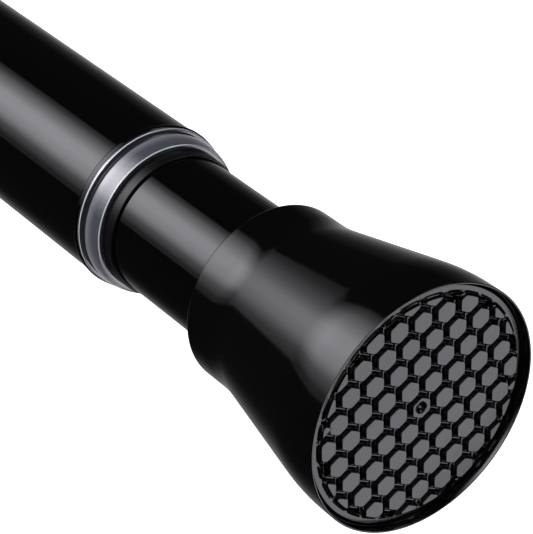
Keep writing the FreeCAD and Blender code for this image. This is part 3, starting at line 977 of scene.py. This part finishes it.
def aim(thing, place, target, long_side=Vector((1, 0, 0))):
    """Puts a lamp at a place, facing a target, its own X along the long side."""
    back = (place - target).normalized()
    side = (long_side - back * long_side.dot(back)).normalized()
    up = back.cross(side)
    turned = Matrix((side, up, back)).transposed().to_4x4()
    thing.matrix_world = Matrix.Translation(place) @ turned


def add_lamp(name, place, target, size, radiance, colour=(1, 1, 1)):
    """Rectangular soft light that the camera doesn't see; the radiance is how bright it looks in a mirror."""
    lamp = bpy.data.lights.new(name, "AREA")
    lamp.shape = "RECTANGLE"
    lamp.size, lamp.size_y = size
    lamp.energy = radiance * math.pi * size[0] * size[1]
    lamp.color = colour
    thing = bpy.data.objects.new(name, lamp)
    bpy.context.scene.collection.objects.link(thing)
    aim(thing, place, target)
    thing.visible_camera = False
    return thing


class ROD_OT_studio(bpy.types.Operator):
    """Makes the camera, the lamps, the pale floor and the plain surroundings"""

    bl_idname = "rod.studio"
    bl_label = "Studio"

    def execute(self, context):
        context.scene.view_settings.view_transform = "Standard"
        self.add_camera(context)
        self.add_softbox()
        for name, foot in (("low_fill_lamp", FOOT_POINT), ("far_fill_lamp", FOOT_POINT + DRAWN_OUT)):
            add_lamp(name, foot + FILL_AWAY, foot, FILL_SIZE, FILL_RADIANCE, FILL_COLOUR)
        add_lamp("back_lamp", BACK_PLACE, ROD_MIDDLE, BACK_SIZE, BACK_RADIANCE)
        self.add_floor(context)
        self.add_reflection_card()
        self.add_surroundings(context)
        return {"FINISHED"}

    def add_camera(self, context):
        """Camera at the photograph's viewing angle."""
        data = bpy.data.cameras.new("camera")
        data.lens, data.sensor_width = LENS, SENSOR
        data.clip_start = CAMERA_NEAR
        camera = bpy.data.objects.new("camera", data)
        context.scene.collection.objects.link(camera)
        right = CAMERA_RIGHT.normalized()
        back = (CAMERA_BACK - right * CAMERA_BACK.dot(right)).normalized()
        turned = Matrix((right, back.cross(right), back)).transposed().to_4x4()
        camera.matrix_world = Matrix.Translation(CAMERA_PLACE) @ turned
        context.scene.camera = camera

    def add_softbox(self):
        """Long softbox beside the rod, brightest along its middle and fading to its edges and its far end."""
        place = SOFTBOX_TARGET + SOFTBOX_FACING * SOFTBOX_DISTANCE
        softbox = add_lamp("softbox", place, SOFTBOX_TARGET, SOFTBOX_SIZE, SOFTBOX_RADIANCE, SOFTBOX_COLOUR)
        softbox.data.use_nodes = True
        tree = softbox.data.node_tree
        spot = add_node(tree, "NewGeometry").outputs["Position"]
        over = add_node(tree, "VectorMath", {1: SOFTBOX_SHORT}, {0: spot}, operation="DOT_PRODUCT")
        along = add_node(tree, "SeparateXYZ", None, {"Vector": spot}).outputs["X"]
        width = add_node(tree, "MapRange", SOFTBOX_WIDTHS, {"Value": along})
        parts = {0: over.outputs["Value"], 1: width.outputs["Result"]}
        across = add_node(tree, "Math", None, parts, operation="DIVIDE").outputs["Value"]
        side = graded(tree, across, greys(SOFTBOX_ACROSS))
        far = graded(tree, along, greys(SOFTBOX_ALONG))
        level = add_node(tree, "Math", None, {0: side, 1: far}, operation="MULTIPLY")
        feed(tree, tree.nodes["Emission"], {"Strength": level.outputs["Value"]})

    def add_floor(self, context):
        """Pale floor below the held rod."""
        # It gives an even white behind the rod, also in its gloss and through the collar, and no glare.
        mesh = bmesh.new()
        bmesh.ops.create_grid(mesh, x_segments=FLOOR_CELLS, y_segments=FLOOR_CELLS, size=FLOOR_REACH)
        floor, material = stage_piece(mesh, "studio_floor", "painted_studio_floor")
        floor.location = (0, 0, -FLOOR_DROP)
        tree = material.node_tree
        shader = tree.nodes["Principled BSDF"]
        paint = opaque(context.scene.rod_colours.floor)
        for socket, value in (("Base Color", paint), ("Roughness", 0.9), ("Specular IOR Level", 0.0)):
            shader.inputs[socket].default_value = value
        path = add_node(tree, "LightPath").outputs
        seen = add_node(tree, "Math", None, {0: path["Is Camera Ray"], 1: path["Is Glossy Ray"]})
        rays = {0: seen.outputs["Value"], 1: path["Is Transmission Ray"]}
        seen = add_node(tree, "Math", None, rays, use_clamp=True)
        glow = add_node(tree, "Emission", {"Color": paint}, {"Strength": seen.outputs["Value"]})
        total = add_node(tree, "AddShader", None, {0: shader.outputs["BSDF"], 1: glow.outputs["Emission"]})
        feed(tree, tree.nodes["Material Output"], {"Surface": total.outputs["Shader"]})

    def add_reflection_card(self):
        """Curved card under the rod, which only the rod's gloss sees: a painted reflection, dark to keep the
        black deep.
        """
        mesh = bmesh.new()
        rows = []
        for step in range(CARD_STEPS + 1):
            swing = math.radians(CARD_SPAN[0] + (CARD_SPAN[1] - CARD_SPAN[0]) * step / CARD_STEPS)
            y, z = CARD_RADIUS * math.cos(swing), CARD_RADIUS * math.sin(swing)
            rows.append([mesh.verts.new((x, y, z)) for x in CARD_ENDS])
        for here, there in zip(rows, rows[1:]):
            mesh.faces.new((here[0], here[1], there[1], there[0]))
        card, material = stage_piece(mesh, "reflection_card", "painted_reflection_card")
        card.visible_camera = card.visible_diffuse = card.visible_transmission = card.visible_shadow = False
        # It glows as a painted reflection: a dark surrounding for the gloss, with a soft, paler band low
        # behind the rod.
        tree = material.node_tree
        spot = add_node(tree, "NewGeometry").outputs["Position"]
        axes = add_node(tree, "SeparateXYZ", None, {"Vector": spot}).outputs
        swing = add_node(tree, "Math", None, {0: axes["Z"], 1: axes["Y"]}, operation="ARCTAN2")
        degrees = add_node(tree, "Math", None, {0: swing.outputs["Value"]}, operation="DEGREES")
        shade = graded(tree, degrees.outputs["Value"], greys(CARD_SHADES))
        near = graded(tree, axes["X"], greys(CARD_ALONG))
        level = add_node(tree, "Math", None, {0: shade, 1: near}, operation="MULTIPLY")
        glow = add_node(tree, "Emission", None, {"Strength": level.outputs["Value"]})
        feed(tree, tree.nodes["Material Output"], {"Surface": glow.outputs["Emission"]})

    def add_surroundings(self, context):
        """Plain surroundings: dark at the large tube, so that its gloss stays black, grey to the right."""
        world = bpy.data.worlds.new("plain_grey_studio")
        world.use_nodes = True
        context.scene.world = world
        tree = world.node_tree
        around = add_node(tree, "TexCoord").outputs["Generated"]
        sideways = add_node(tree, "SeparateXYZ", None, {"Vector": around}).outputs["X"]
        background = tree.nodes["Background"]
        background.inputs["Color"].default_value = (1, 1, 1, 1)
        feed(tree, background, {"Strength": graded(tree, sideways, greys(SURROUNDINGS))})


class ROD_PT_panel(bpy.types.Panel):
    """Lists the rod's pieces, sizes and colours"""

    bl_idname = "ROD_PT_panel"
    bl_label = "Spring tension rod"
    bl_space_type = "VIEW_3D"
    bl_region_type = "UI"
    bl_category = "Rod"

    def draw(self, context):
        layout = self.layout
        for operator in OPERATORS:
            layout.operator(operator.bl_idname)
        for group in (context.scene.rod_sizes, context.scene.rod_colours):
            box = layout.box()
            for name in group.bl_rna.properties.keys():
                if name not in ("rna_type", "name"):
                    box.prop(group, name)


PIECES = (ROD_OT_tubes, ROD_OT_collar, ROD_OT_feet, ROD_OT_grip_pads, ROD_OT_spring, ROD_OT_inside)
OPERATORS = (*PIECES, ROD_OT_studio)
CLASSES = (RodSizes, RodColours, *OPERATORS, ROD_PT_panel)


def register():
    for item in CLASSES:
        bpy.utils.register_class(item)
    bpy.types.Scene.rod_sizes = PointerProperty(type=RodSizes)
    bpy.types.Scene.rod_colours = PointerProperty(type=RodColours)


def unregister():
    del bpy.types.Scene.rod_colours
    del bpy.types.Scene.rod_sizes
    for item in reversed(CLASSES):
        bpy.utils.unregister_class(item)


def main():
    """Builds the rod and its studio."""
    register()
    bpy.ops.rod.tubes()
    bpy.ops.rod.collar()
    bpy.ops.rod.feet()
    bpy.ops.rod.grip_pads()
    bpy.ops.rod.spring()
    bpy.ops.rod.inside()
    bpy.ops.rod.studio()


if __name__ == "__main__":
    main()
